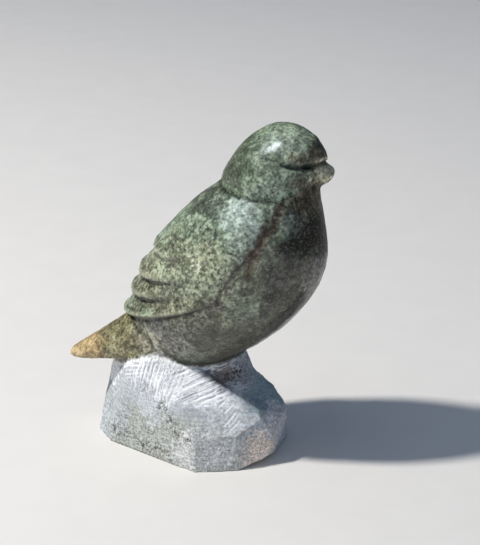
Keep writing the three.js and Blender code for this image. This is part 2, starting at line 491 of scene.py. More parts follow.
def rub(points, edges, amount, rounds):
    for _ in range(rounds):
        for step in (carving["rubIn"], carving["rubOut"]):
            points = points + (step * amount)[:, None] * (neighbourMean(points, edges) - points)
    return points


def lipFields(points):
    # for each feather lip: millimetres in front of it, and how strong it is there
    angle, turn, gap = eggField(points, bodyEgg)
    flank = (1.0 - np.cos(np.radians(np.minimum(turn, 90.0)))) ** feathers["bowPower"]
    ring = angle - feathers["bow"] * flank
    onBody = easeIn(np.abs(gap - feathers["swell"]), *feathers["onBody"])
    for lip, low, high in zip(feathers["lipAngles"], feathers["fadeFrom"], feathers["fadeTo"]):
        yield (ring - lip) * feathers["perDegree"], onBody * easeIn(turn, high, low)


def nearMouth(points):
    bothSides = points.copy()
    bothSides[:, 1] = np.abs(bothSides[:, 1])
    return pathGap(bothSides, mouth["path"])


def mouthWidth(points):
    pocket = bell(points[:, 0] - mouth["pocketAt"], mouth["pocketLength"])
    return mouth["width"] + mouth["pocketWidth"] * pocket


def nearCrease(points):
    # 1 along the crease between head and body
    headGap = np.abs(eggField(points, headEgg)[2])
    bodyGap = np.abs(eggField(points, bodyEgg)[2])
    return easeIn(np.maximum(headGap, bodyGap), *carving["creaseReach"])


def creaseLine(points):
    # the bottom of the crease, from the nape to below the cheek
    middle = eggField(points, headEgg)[2] - eggField(points, bodyEgg)[2]
    return bell(middle, carving["creaseWidth"]) * nearCrease(points) * within(points, "behindThroat")


def birdGap(points):
    return np.minimum(eggField(points, bodyEgg)[2], eggField(points, tailEgg)[2])


def rockShare(points, ragged=0.0):
    # 1 on the rock and its neck, 0 on the bird; the rim below the tail is frayed by the rasp
    off = birdGap(points)
    if ragged:
        frayed = softNoise(points, carving["rimGrain"], carving["rimSeed"])
        off = off + ragged * within(points, "frayedRim") * frayed
    return easeIn(off, *carving["rockStart"]) * within(points, "belowBird")


def roundedRock(points):
    # where the rock is rubbed round: its tail end, and less so its long side
    longSide = carving["longSideRound"] * within(points, "rockLongSide")
    return np.maximum(within(points, "rockTailEnd"), longSide)


def crispness(points):
    # where the solid's own edges are kept: the feather lips, the beak, and most of the rock
    besideMouth = easeIn(nearMouth(points), *mouth["softBeside"])
    crisp = carving["beakCrisp"] * within(points, "beakEdges") * besideMouth
    for (ahead, strength), share in zip(lipFields(points), feathers["crisp"]):
        onLip = easeIn(np.abs(ahead), *feathers["crispReach"]) * easeIn(strength, *feathers["crispFrom"])
        crisp = np.maximum(crisp, share * onLip)
    return np.maximum(crisp, rockShare(points) * (1.0 - roundedRock(points)))


def roughOut():
    # the solid's own form as an even mesh of small quads
    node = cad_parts[carving["node"]]
    solid = bmesh.new()
    solid.from_mesh(node.data)
    bmesh.ops.remove_doubles(solid, verts=solid.verts, dist=carving["merge"] * mm)
    skin = BVHTree.FromBMesh(solid)
    block = bpy.data.meshes.new("blank")
    solid.to_mesh(block)
    solid.free()
    blank = bpy.data.objects.new("blank", block)
    scene.collection.objects.link(blank)
    remesh = blank.modifiers.new("evenMesh", "REMESH")
    remesh.mode = "VOXEL"
    remesh.voxel_size = carving["voxel"] * mm
    ready = blank.evaluated_get(bpy.context.evaluated_depsgraph_get())
    even = bpy.data.meshes.new_from_object(ready)
    bpy.data.objects.remove(blank)
    return even, skin


def ontoSolid(points, skin):
    return np.array([skin.find_nearest(Vector(p) * mm)[0] for p in points]) / mm


def rubForm(mesh, skin):
    points = ontoSolid(readPoints(mesh), skin)
    edges = readEdges(mesh)
    flat = points[:, 2] < carving["flatBelow"]
    soft = np.where(flat, 0.0, 1.0 - crispness(points))
    points = rub(points, edges, soft, carving["rubRounds"])
    worn = rockShare(points) * roundedRock(points)
    nape = carving["napeWorn"]
    worn = np.maximum(worn, nearCrease(points) * (nape + (1.0 - nape) * within(points, "frontOfNape")))
    cheek = easeIn(nearMouth(points), *carving["cheekReach"])
    cheek *= 1.0 - carving["mouthSpared"] * within(points, "openMouth")
    worn = np.maximum(worn, cheek)
    worn[flat] = 0.0
    for _ in range(carving["wornRounds"]):
        points = points + carving["rubIn"] * worn[:, None] * (neighbourMean(points, edges) - points)
    writePoints(mesh, points)


def fineAreas(mesh):
    # halves the mesh size where there is fine work to hold
    points = readPoints(mesh)
    shown = (points[:, 1] < carving["fineSide"]) | (points[:, 2] > carving["fineHeight"])
    wanted = (rockShare(points) > 0.2) & (points[:, 2] > carving["fineFloor"]) & shown
    for ahead, strength in lipFields(points):
        wanted |= (np.abs(ahead - feathers["fineAt"]) < feathers["fineReach"]) & (strength > 0.1)
    wanted |= nearMouth(points) < mouth["fineReach"]
    for vein in veinsAndLipShadow.values():
        wanted |= pathGap(points, vein["path"]) < 2.0 * carving["voxel"]
    work = bmesh.new()
    work.from_mesh(mesh)
    work.verts.ensure_lookup_table()
    chosen = [edge for edge in work.edges if wanted[edge.verts[0].index] and wanted[edge.verts[1].index]]
    bmesh.ops.subdivide_edges(work, edges=chosen, cuts=1, use_grid_fill=True)
    bmesh.ops.triangulate(work, faces=[face for face in work.faces if len(face.verts) > 4])
    work.to_mesh(mesh)
    work.free()


def trueEdges(mesh, skin):
    # brings crisp places back onto the solid, then breaks their edges a little
    points = readPoints(mesh)
    crisp = crispness(points)
    points += crisp[:, None] * (ontoSolid(points, skin) - points)
    flat = points[:, 2] < carving["flatBelow"]
    amount = np.where(flat, 0.0, carving["edgeRub"])
    points = rub(points, readEdges(mesh), amount, carving["edgeRounds"])
    points[flat, 2] = 0.0
    points[:, 2] = np.maximum(points[:, 2], 0.0)
    writePoints(mesh, points)


def carveDetails(mesh):
    points = readPoints(mesh)
    normals = readNormals(mesh)
    rock = rockShare(points)
    seed = carving["seed"]
    lumps = softNoise(points, carving["lump"], seed)
    lumps += carving["dimpleShare"] * softNoise(points, carving["dimple"], seed + 2)
    lift = (1.0 - rock) * carving["unevenness"] * lumps
    lift += rock * carving["rockUnevenness"] * softNoise(points, carving["rockLump"], seed + 1, 3)
    for (ahead, strength), roll, undercut in zip(lipFields(points), feathers["roll"], feathers["undercut"]):
        lift += strength * roll * bell(ahead - feathers["rollAt"], feathers["rollWidth"])
        lift -= strength * undercut * bell(ahead - feathers["undercutAt"], feathers["undercutWidth"])
    lift -= mouth["depth"] * within(points, "openMouth") * bell(nearMouth(points), mouthWidth(points))
    lift += flankRidge["height"] * bell(pathGap(points, flankRidge["path"]), flankRidge["width"])
    for vein in veinsAndLipShadow.values():
        lift -= vein["depth"] * bell(pathGap(points, vein["path"]), vein["width"])
    lift -= carving["creaseDepth"] * creaseLine(points)
    points = points + normals * (lift * within(points, "clearOfFloor"))[:, None]
    points[:, 2] = np.maximum(points[:, 2], 0.0)
    writePoints(mesh, points)


def addLayer(mesh, name, values):
    kind, field = ("FLOAT", "value") if values.ndim == 1 else ("FLOAT_COLOR", "color")
    layer = mesh.attributes.new(name, kind, "POINT")
    layer.data.foreach_set(field, np.ascontiguousarray(values, dtype=np.float32).ravel())


# rasp marks on the rock

raspGroups = {
    "steepStrokes": {
        "centre": (-7, -16.5, 29), "facing": (-0.10, -0.90, 0.42), "along": (-0.20, -0.25, -0.95),
        "length": 13, "width": 22, "spacing": 1.5, "depth": 0.2, "stagger": 4, "seed": 3,
    },
    "crestStrokes": {
        "centre": (-1.6, -12.6, 33.4), "facing": (0, -0.75, 0.66), "along": (-0.12, -0.50, -0.86),
        "length": 5, "width": 11, "spacing": 1.05, "depth": 0.2, "stagger": 1.5, "seed": 5,
    },
    "fanStrokes": {
        "centre": (7.6, -14.2, 27.6), "facing": (0.26, -0.77, 0.59), "along": (0.81, 0.52, 0.26),
        "length": 13, "width": 15, "spacing": 1.7, "depth": 0.27, "stagger": 4.5, "seed": 8,
    },
    "cornerStrokes": {
        "centre": (18.6, -17.6, 18), "facing": (0.26, -0.77, 0.59), "along": (0.53, 0.60, 0.55),
        "length": 8, "width": 12, "spacing": 1.35, "depth": 0.2, "stagger": 4, "seed": 14,
    },
    "endStrokes": {
        "centre": (-17, -11, 30), "facing": (-0.50, -0.75, 0.40), "along": (0.78, -0.50, 0.35),
        "length": 13, "width": 8, "spacing": 1.3, "depth": 0.14, "stagger": 5, "seed": 17,
    },
    "farStrokes": {
        "centre": (-1.6, 17, 29), "facing": (-0.09, 0.74, 0.67), "along": (0.62, -0.48, 0.62),
        "length": 14, "width": 30, "spacing": 1.7, "depth": 0.22, "stagger": 4, "seed": 23,
    },
}

strokeShape = {
    "waver": 130.0,  # waves per metre in a stroke
    "waverShare": 0.8,  # how far it wanders, as a share of the spacing
    "shortest": 0.3,  # half its length, as a share of the group's length
    "longer": 0.25,
    "taper": 0.72,  # where its ends start to thin
    "groove": (0.28, 0.05),  # its half width at the top and the bottom, as shares of the spacing
    "bandEdge": 0.75,  # where the group starts to fade sideways
    "facing": (0.72, 0.9),  # how squarely a surface has to face the group
    "faintest": 0.25,
}


def stored(tree, name):
    node = put(tree, "GeometryNodeInputNamedAttribute", {"Name": name}, data_type="FLOAT")
    return node.outputs["Attribute"]


def raspTree(finish):
    tree = bpy.data.node_groups.new("raspStrokes", "GeometryNodeTree")
    kinds = {
        "Geometry": ["Geometry"],
        "Vector": ["Centre", "Facing", "Along"],
        "Float": ["Length", "Width", "Spacing", "Depth", "Stagger"],
        "Int": ["Seed"],
    }
    for kind, names in kinds.items():
        for name in names:
            tree.interface.new_socket(name, in_out="INPUT", socket_type="NodeSocket" + kind)
    tree.interface.new_socket("Geometry", in_out="OUTPUT", socket_type="NodeSocketGeometry")
    given = put(tree, "NodeGroupInput").outputs
    normal = put(tree, "GeometryNodeInputNormal").outputs["Normal"]
    position = put(tree, "GeometryNodeInputPosition").outputs["Position"]
    place = vectorCalc(tree, "SUBTRACT", position, given["Centre"])
    across = vectorCalc(tree, "NORMALIZE", vectorCalc(tree, "CROSS_PRODUCT", given["Facing"], given["Along"]))
    # strokes wander a little, as a hand does
    waver = noisy(tree, place, strokeShape["waver"], 1.0)
    waver = swing(tree, waver, times(tree, given["Spacing"], strokeShape["waverShare"]))
    side = calc(tree, "ADD", vectorCalc(tree, "DOT_PRODUCT", place, across), waver)
    lane = calc(tree, "DIVIDE", side, given["Spacing"])
    stroke = calc(tree, "FLOOR", lane)
    middle = calc(tree, "ABSOLUTE", calc(tree, "SUBTRACT", calc(tree, "FRACT", lane), 0.5))

    def chance(extra):
        number = calc(tree, "ADD", given["Seed"], extra)
        node = put(tree, "FunctionNodeRandomValue", {"ID": stroke, "Seed": number}, data_type="FLOAT")
        return node.outputs["Value"] if node.outputs["Value"].enabled else node.outputs[1]

    slip = swing(tree, chance(0), given["Stagger"])
    halfLength = calc(tree, "ADD", strokeShape["shortest"], times(tree, chance(101), strokeShape["longer"]))
    reach = times(tree, given["Length"], halfLength)
    travel = vectorCalc(tree, "DOT_PRODUCT", place, given["Along"])
    travel = calc(tree, "ABSOLUTE", calc(tree, "SUBTRACT", travel, slip))
    taper = ease(tree, travel, reach, times(tree, reach, strokeShape["taper"]))
    groove = ease(tree, middle, *strokeShape["groove"])
    halfWidth = times(tree, given["Width"], 0.5)
    full = times(tree, halfWidth, strokeShape["bandEdge"])
    band = ease(tree, calc(tree, "ABSOLUTE", side), halfWidth, full)
    facing = ease(tree, vectorCalc(tree, "DOT_PRODUCT", normal, given["Facing"]), *strokeShape["facing"])
    weight = ease(tree, chance(202), 0.0, 1.0, strokeShape["faintest"], 1.0)
    cut = times(tree, groove, taper, band, facing, weight, stored(tree, "rock"))
    push = scaled(tree, normal, times(tree, cut, given["Depth"], -1.0))
    moved = put(tree, "GeometryNodeSetPosition", {"Geometry": given["Geometry"], "Offset": push})
    marked = put(tree, "GeometryNodeStoreNamedAttribute",
                 {"Geometry": moved.outputs["Geometry"], "Name": "stroke"}, data_type="FLOAT", domain="POINT")
    feed(tree, marked.inputs["Value"], calc(tree, "MAXIMUM", stored(tree, "stroke"), cut))
    real = put(tree, "GeometryNodeRealizeInstances", {"Geometry": marked.outputs["Geometry"]})
    dressed = put(tree, "GeometryNodeSetMaterial", {"Geometry": real.outputs["Geometry"], "Material": finish})
    feed(tree, put(tree, "NodeGroupOutput").inputs["Geometry"], dressed.outputs["Geometry"])
    return tree


def raspRock(piece, finish):
    tree = raspTree(finish)
    identifiers = {item.name: item.identifier for item in tree.interface.items_tree if item.in_out == "INPUT"}
    for name, group in raspGroups.items():
        strokes = piece.modifiers.new(name, "NODES")
        strokes.node_group = tree
        for key in ("facing", "along"):
            strokes[identifiers[key.capitalize()]] = Vector(group[key]).normalized()
        strokes[identifiers["Centre"]] = Vector(group["centre"]) * mm
        for key in ("length", "width", "spacing", "depth", "stagger"):
            strokes[identifiers[key.capitalize()]] = group[key] * mm
        strokes[identifiers["Seed"]] = group["seed"]
    ready = piece.evaluated_get(bpy.context.evaluated_depsgraph_get())
    rasped = bpy.data.meshes.new_from_object(ready)
    piece.modifiers.clear()
    piece.data = rasped


# colours of the stone, as patches that run through it; a few also stand in for light and shade, as noted

stone = {
    "mint": linear(111, 126, 106),
    "powder": linear(188, 193, 199),  # fresh rasped stone
    "seed": 31,
    "wander": 2.6,  # how far the edges of patches wander
    "wanderGrain": 6.0,
    "ragged": 2.8,  # how far they are torn in fine
    "raggedGrain": 1.5,
    "fullWander": 6.0,  # patches with less reach than this wander less
    "patchEdge": (1.15, 0.7),
    "veinWander": 0.2,
    "veinGrain": 3.0,
    "veinSwell": 0.9,  # how far a vein thickens and thins
    "veinThinnest": 0.25,
}


def patch(at, reach, colour, strength):
    return {"at": at, "reach": reach, "colour": linear(*colour), "strength": strength}


# middle and reach in millimetres, colour, and how fully it covers; they run from broad to small
birdPatches = {
    "wingWarm": patch((8, -20, 66), (22, 30, 18), (137, 143, 120), 0.8),
    "wingLow": patch((1, -20, 57), (15, 12, 7), (118, 119, 99), 0.85),
    "tierEnds": patch((-12, -9, 62), (9, 9, 15), (111, 112, 91), 0.75),
    "frontSide": patch((34, -19, 70), (8, 9, 16), (88, 90, 77), 0.8),
    "headBack": patch((18, 0, 106), (9, 16, 12), (62, 72, 57), 0.85),
    "wingRoot": patch((11, 0, 93), (11, 20, 9), (76, 86, 73), 0.9),
    "belly": patch((24, 0, 45), (36, 30, 18), (84, 83, 70), 1.0),
    "lowerBreast": patch((40, 0, 62), (15, 26, 24), (66, 65, 53), 1.0),
    "flank": patch((-4, -15, 43), (9, 10, 9), (132, 130, 121), 0.9),
    "breast": patch((46, 0, 86), (14.5, 19.5, 14), (42, 41, 30), 1.0),
    "throat": patch((43, 0, 95), (9.5, 22, 8), (86, 79, 64), 0.95),
    "breastInk": patch((46, -9, 84), (6, 8, 7), (28, 28, 20), 0.9),
    "breastSide": patch((32, -20, 72), (5, 8, 14), (90, 89, 78), 0.8),
    "breastWindow": patch((39.2, -14.5, 88.2), (5, 6, 5.5), (94, 101, 94), 0.9),
    # painted sheen: paler grey near the lower edge of the breast, standing for the bright floor reflected in
    # the polished stone
    "breastPaintedSheen": patch((46, -9, 68), (6, 10, 9), (122, 118, 110), 0.85),
    "breastGrey": patch((39.5, -15.5, 73), (5, 6, 5.5), (92, 91, 81), 0.7),
    "breastBlack": patch((38.2, -17, 80.2), (4.0, 6, 4.2), (30, 31, 25), 1.0),
    "throatBrown": patch((33.6, -16, 93), (3.6, 6, 3.2), (60, 47, 38), 0.9),
    "breastShade": patch((35, -19, 68), (3.8, 6, 9), (72, 73, 66), 0.8),
    "greenBand": patch((27.8, -21.5, 69.5), (3.0, 6, 8), (108, 113, 93), 0.85),
    "spotOne": patch((24, -22.3, 67), (1.6, 3, 2.6), (54, 52, 46), 0.9),
    "spotTwo": patch((32.6, -19.5, 64.2), (3.6, 5, 3.0), (20, 20, 16), 0.95),
    "spotThree": patch((30.4, -18.8, 58), (1.2, 3, 3.5), (58, 57, 54), 0.8),
    "plumOne": patch((18.3, -23.3, 67.7), (1.8, 3, 2.5), (84, 74, 70), 0.9),
    "plumTwo": patch((15.2, -22.8, 61.2), (3.5, 4, 3), (98, 84, 76), 0.9),
    "shoulder": patch((23.5, -18.7, 90.0), (8, 9, 9.5), (160, 175, 167), 0.85),
    # crown and forehead: paler, bluer stone, partly a painted glow around the highlight on the head
    "crown": patch((33, -10, 114), (6, 7, 4), (110, 124, 113), 0.7),
    "forehead": patch((38.6, -8.5, 113.2), (6.0, 8, 5), (136, 150, 130), 0.85),
    "headSide": patch((23.4, -11.5, 109), (6, 7, 6), (78, 90, 74), 0.85),
    "cheekLow": patch((31.5, -15.5, 99.5), (5, 6, 6.5), (137, 153, 134), 0.85),
    "wingFront": patch((22.6, -21, 82), (4.2, 6, 6.5), (148, 162, 146), 0.85),
    "wingStreak": patch((12.8, -22, 75), (4, 6, 9), (152, 158, 132), 0.7),
    "wingShade": patch((0.2, -17.4, 76), (4.5, 6, 4.5), (100, 104, 85), 0.75),
    "wingFoot": patch((13, -22.5, 59.4), (7, 6, 4), (80, 80, 66), 0.8),
    "greenSpot": patch((31.4, -19.9, 79.2), (2.8, 4, 5.5), (116, 124, 107), 0.85),
    "paleOne": patch((6.2, -21.5, 77), (1.5, 3, 1.3), (190, 193, 172), 0.8),
    "paleTwo": patch((8.6, -22, 73.4), (1.6, 3, 1.4), (190, 193, 172), 0.8),
    "stain": patch((-3.1, -12, 83), (1.6, 3, 1.6), (100, 82, 58), 0.8),
    "tail": patch((-20, 0, 36), (28, 16, 14.5), (117, 112, 83), 1.0),
    "tailTip": patch((-38, 0, 31), (13, 14, 10), (158, 138, 102), 1.0),
    "flankPale": patch((-12, -10.5, 41.5), (5, 6, 7), (152, 150, 134), 0.7),
    "cheek": patch((38, 0, 109.6), (4, 17, 1.6), (136, 131, 106), 0.8),
    "chin": patch((41, 0, 101.8), (4.5, 22, 4.2), (72, 66, 50), 0.9),
    "upperBeak": patch((45.5, 0, 109.4), (6, 20, 4.2), (112, 106, 82), 1.0),
    "beakRidge": patch((46.5, 0, 112.3), (4, 9, 2.2), (62, 68, 52), 1.0),
    # painted light: the lower beak is pale stone, made paler still against the upper beak's shadow on it
    "lowerBeak": patch((47.6, -2, 103.6), (5.0, 9, 3.4), (214, 208, 176), 1.0),
}

rockPatches = {
    "greenFoot": patch((-6, -20, 4), (34, 22, 15), (174, 178, 172), 0.9),
    "tailEnd": patch((-28, -6, 14), (12, 16, 15), (174, 180, 183), 0.8),
    "footMiddle": patch((12, -24, 6), (14, 9, 10), (206, 208, 208), 0.9),
    "raspedTop": patch((-14, -12, 33), (16, 12, 8), (184, 189, 197), 0.9),
    # painted light: the rock's end below the tail is pale rasped stone, made near white so that the tail's
    # shadow on it is lifted
    "freshEndPaintedLight": patch((-27, -2.5, 25), (4.5, 6, 6), (246, 249, 253), 0.9),
    "raspedSlope": patch((7, -14, 28), (18, 9, 9), (236, 239, 244), 0.95),
    "powderSpot": patch((-9.5, -17, 17), (5, 7, 6), (206, 210, 216), 0.6),
    "nearEnd": patch((30, -15, 5.5), (9, 9, 8.5), (240, 224, 210), 0.85),
    # painted shade: the top and right slopes are a darker, bluer grey than the rasped stone, partly standing
    # for the bird's shadow and the sky-lit shade on them
    "topSlope": patch((14, -2, 29), (11, 14, 7), (138, 142, 150), 0.95),
    "rightSlope": patch((29, 0, 21), (10, 17, 9), (136, 155, 164), 0.9),
    "neckBrown": patch((14.5, -8.5, 29.5), (5.5, 6, 4.5), (124, 117, 112), 0.8),
    "endBevel": patch((34, -8, 13), (6, 8, 8), (196, 198, 202), 0.9),
}

# fine scratches between the rasp strokes; sink is how far below their middle they still reach
scratchZones = {
    "steepScratches": {
        "at": (-9, -15, 29), "reach": (13, 14, 9), "along": (-0.20, -0.25, -0.95),
        "facing": (-0.10, -0.90, 0.42), "sink": 30.0,
    },
    "fanScratches": {
        "at": (9, -14, 28), "reach": (15, 12, 8.5), "along": (0.81, 0.52, 0.26),
        "facing": (0.26, -0.77, 0.59), "sink": 1.5,
    },
}

scratchEdges = {"reach": (1.1, 0.6), "facing": (0.78, 0.92), "sink": 0.6}

# the pale fringe of rasped stone along the rim below the tail
fringe = {"at": 1.3, "width": 0.8, "strength": 0.75, "broken": 1.2, "grain": 0.9}

# edges that stand proud are rubbed pale, and crevices, the crease, the mouth and the undercuts below the
# feather lips are darkened as painted shade
wearAndShade = {
    "evenRounds": 10,  # proud and deep are measured from a surface evened out this often
    "evenStep": 0.6,
    "proudScale": 0.25,
    "edges": (0.1, 0.8),
    "crevices": (0.15, 0.7),
    "hollowShade": 0.7,
    "creaseShade": 0.75,
    "mouthShade": 1.3,  # how wide, as a share of the mouth's width
    "beakShadeSpared": 0.75,
    "lipPale": 2.0,
    "lipPaleAt": 1.0,
    "lipPaleWidth": 0.9,
    "lipShadow": 2.0,
    "lipShadowAt": -1.0,
    "lipShadowWidth": 0.5,
    "lipShadowSpread": 0.7,  # wider where the undercut is deeper
}

# strength of the speckle on the wing, and how much less there is elsewhere
speckle = {
    "wing": 0.9,
    "front": 0.25,
    "frontFade": 6.0,
    "head": 0.15,
    "crown": 0.1,
    "beak": 0.3,
    "shoulder": 0.33,
    "shoulderReach": 9.0,
    "shoulderEdge": (1.3, 0.6),
    "belly": 0.15,
    "tail": 0.15,
    "tailTip": 0.35,
    "rock": 0.42,
    "upperRock": 0.2,
}

# where dark and rusty specks gather on the rock
specks = {
    "boundary": {
        "path": [(-5, -19, 20.5), (-2, -20.6, 16.5), (1.5, -22.4, 12.5), (6, -24.2, 11)],
        "width": 3.2, "strength": 0.95,
    },
    "foot": {
        "path": [(-24, -10, 5), (-12, -16, 4), (-2, -21, 3.5)],
        "width": 4, "strength": 0.9,
    },
    "underBelly": {
        "path": [(18.4, -6, 31.5), (19.4, -5.6, 29.6), (16, -8.4, 28), (17.1, -8.9, 25.4)],
        "width": 2.2, "strength": 1,
    },
}

wax = {
    "frontLine": (15.0, 62.0, 0.64),  # where the front begins, at what height, and its lean
    "polish": 0.5,  # the front is polished low down
    "polishFade": 12.0,
    "breastAt": (46.0, 0.0, 88.0),
    "breastReach": (16.0, 26.0, 15.0),
    "breastEdge": (1.2, 0.8),
    "breastMatt": 0.7,
    "roughness": 0.6,
    "rockRoughness": 0.9,
    "specular": 0.3,
    "mattSpecular": 0.1,
    "thin": 0.3,  # the wax lies thin on dark grains and thick on pale ones
    "thick": 0.6,
    "thickening": (0.3, 0.6),
    "sheen": 0.26,  # how rough the wax is, and where it is polished
    "polishedSheen": 0.1,
    "refraction": 1.6,
    "bump": 0.4,
    "bumpHeight": 0.15,
}


def stain(tint, cover, colour):
    return tint + cover[:, None] * (np.array(colour) - tint)


def lay(points, warp, ragged, base, patches):
    tint = np.tile(np.array(base), (len(points), 1))
    for spot in patches.values():
        wandered = points + warp * min(1.0, min(spot["reach"]) / stone["fullWander"]) + ragged
        far = farFrom(wandered, spot["at"], spot["reach"])
        tint = stain(tint, spot["strength"] * easeIn(far, *stone["patchEdge"]), spot["colour"])
    return tint


def noiseVectors(points, grain, seed, octaves):
    return np.stack([softNoise(points, grain, seed + axis, octaves) for axis in range(3)], axis=1)


def layColours(mesh, points, rock, warp):
    seed = stone["seed"]
    ragged = noiseVectors(points, stone["raggedGrain"], seed + 11, 2) * stone["ragged"]
    bird = lay(points, warp, ragged, stone["mint"], birdPatches)
    wandered = points + stone["veinWander"] * warp
    swell = 1.0 + stone["veinSwell"] * softNoise(points, stone["veinGrain"], seed + 5)
    for vein in veinsAndLipShadow.values():
        thick = vein["stain"] * np.maximum(swell, stone["veinThinnest"])
        bird = stain(bird, vein["strength"] * bell(pathGap(wandered, vein["path"]), thick), vein["colour"])
    ridge = bell(pathGap(wandered, flankRidge["path"]), flankRidge["width"])
    bird = stain(bird, flankRidge["pale"] * ridge, flankRidge["colour"])
    addLayer(mesh, "tint", stain(bird, rock, lay(points, warp, ragged, stone["powder"], rockPatches)))


def layScratches(mesh, points, normals, rock, warp):
    rim = bell(birdGap(points) - fringe["at"], fringe["width"]) * within(points, "rimBelowTail")
    broken = fringe["strength"] + fringe["broken"] * softNoise(points, fringe["grain"], stone["seed"] + 9)
    addLayer(mesh, "stroke", np.clip(rock * rim * broken, 0.0, 1.0))
    for name, zone in scratchZones.items():
        facing = np.array(Vector(zone["facing"]).normalized())
        far = farFrom(points + warp, zone["at"], zone["reach"])
        below = (np.array(zone["at"]) - points) @ facing
        level = easeIn(below, zone["sink"], scratchEdges["sink"] * zone["sink"])
        towards = easeIn(normals @ facing, *scratchEdges["facing"])
        addLayer(mesh, name, rock * towards * level * easeIn(far, *scratchEdges["reach"]))


def layWearAndShade(mesh, points, normals, rock):
    edges = readEdges(mesh)
    even = points
    for _ in range(wearAndShade["evenRounds"]):
        even = even + wearAndShade["evenStep"] * (neighbourMean(even, edges) - even)
    proud = np.einsum("ij,ij->i", points - even, normals) / wearAndShade["proudScale"]
    worn = bell(pathGap(points, flankRidge["path"]), flankRidge["width"])
    worn = np.maximum(worn, easeIn(proud, *wearAndShade["edges"]) * rock * (1.0 - roundedRock(points)))
    # painted shade: the mouth, hollows, the crease and the undercuts below the feather lips are darkened,
    # less on the lower beak
    paintedCreviceShade = within(points, "openMouth") * bell(nearMouth(points), wearAndShade["mouthShade"] * mouthWidth(points))
    paintedCreviceShade = np.maximum(paintedCreviceShade, wearAndShade["hollowShade"] * easeIn(-proud, *wearAndShade["crevices"]) * (1.0 - rock))
    paintedCreviceShade = np.maximum(paintedCreviceShade, wearAndShade["creaseShade"] * creaseLine(points))
    paintedCreviceShade *= 1.0 - wearAndShade["beakShadeSpared"] * within(points, "lowerBeak")
    for (ahead, strength), roll, undercut in zip(lipFields(points), feathers["roll"], feathers["undercut"]):
        pale = bell(ahead - wearAndShade["lipPaleAt"], wearAndShade["lipPaleWidth"])
        worn = np.maximum(worn, strength * wearAndShade["lipPale"] * roll * pale)
        wide = wearAndShade["lipShadowWidth"] + wearAndShade["lipShadowSpread"] * undercut
        deep = min(wearAndShade["lipShadow"] * undercut, 1.0) * bell(ahead - wearAndShade["lipShadowAt"], wide)
        paintedCreviceShade = np.maximum(paintedCreviceShade, strength * deep)
    addLayer(mesh, "worn", np.clip(worn, 0.0, 1.0))
    addLayer(mesh, "paintedCreviceShade", np.clip(paintedCreviceShade, 0.0, 1.0))


def laySpeckle(mesh, points, rock, ahead):
    front = easeIn(ahead, 0.0, speckle["frontFade"]) * within(points, "belowThroat")
    grain = speckle["wing"] - speckle["front"] * front
    for name in ("head", "crown", "beak"):
        grain -= speckle[name] * within(points, name)
    far = farFrom(points, birdPatches["shoulder"]["at"], speckle["shoulderReach"])
    grain -= speckle["shoulder"] * easeIn(far, *speckle["shoulderEdge"])
    grain *= 1.0 - sum(speckle[name] * within(points, name) for name in ("belly", "tail", "tailTip"))
    rockGrain = speckle["rock"] - speckle["upperRock"] * within(points, "upperRock")
    for group in specks.values():
        gathered = group["strength"] * bell(pathGap(points, group["path"]), group["width"])
        rockGrain = np.maximum(rockGrain, gathered)
    addLayer(mesh, "grain", grain + rock * (rockGrain - grain))


def layWax(mesh, points, rock, ahead):
    polish = wax["polish"] * within(points, "lowFront") * easeIn(ahead, 0.0, wax["polishFade"])
    addLayer(mesh, "polish", polish * (1.0 - rock))
    far = farFrom(points, wax["breastAt"], wax["breastReach"])
    dull = wax["breastMatt"] * easeIn(far, *wax["breastEdge"])
    addLayer(mesh, "matt", np.maximum(np.maximum(rock, nearCrease(points)), dull))


def colourStone(mesh):
    # what the material reads is stored on the mesh
    points = readPoints(mesh)
    normals = readNormals(mesh)
    rock = rockShare(points, ragged=carving["rimFray"])
    warp = noiseVectors(points, stone["wanderGrain"], stone["seed"], 3) * stone["wander"]
    lineAt, lineHeight, lean = wax["frontLine"]
    ahead = points[:, 0] - lineAt - lean * (points[:, 2] - lineHeight)
    addLayer(mesh, "rock", rock)
    layColours(mesh, points, rock, warp)
    layScratches(mesh, points, normals, rock, warp)
    layWearAndShade(mesh, points, normals, rock)
    laySpeckle(mesh, points, rock, ahead)
    layWax(mesh, points, rock, ahead)


# the material: each grain has its size in millimetres, its detail and its roughness
grainSizes = {
    "fine": (1.0, 1.5, 0.5),
    "middle": (2.5, 2.0, 0.5),
    "cloud": (6.0, 3.0, 0.55),
    "dust": (0.45, 1.0, 0.5),
    "sparks": (0.7, 1.0, 0.5),
    "dots": (1.25, 1.0, 0.5),
    "spots": (0.8, 1.0, 0.5),
    "chips": (1.8, 2.0, 0.5),
}

# how far each kind of grain brightens or darkens the stone, in stops
grainSwing = {
    "fine": 6.0,
    "middle": 4.4,
    "cloud": 3.2,
    "dust": 1.6,
    "rockDust": 5.0,
    "most": 0.8,  # no grain is brighter than this
    "rockMost": 0.4,
}

# range is where in its pattern a mark starts, and where it is full
marks = {
    "flakes": {"colour": linear(190, 203, 182), "range": (0.5, 2.2), "strength": 0.6},
    "sparks": {"colour": linear(138, 136, 118), "range": (0.55, 0.68), "strength": 0.4},
    "dots": {"colour": linear(38, 44, 34), "range": (0.42, 0.31), "strength": 0.75},
    "paleScratches": {"colour": linear(252, 253, 255), "range": (0.55, 0.63), "strength": 0.85},
    "dullScratches": {"colour": linear(110, 114, 122), "range": (0.45, 0.36), "strength": 0.5},
    # painted shade laid into crevices and under the feather lips
    "paintedCreviceShade": {"colour": linear(16, 17, 13), "strength": 0.95},
    "worn": {"colour": linear(186, 185, 160), "strength": 0.36},
    "freshCut": {"colour": linear(254, 254, 254), "strength": 1.0},
}

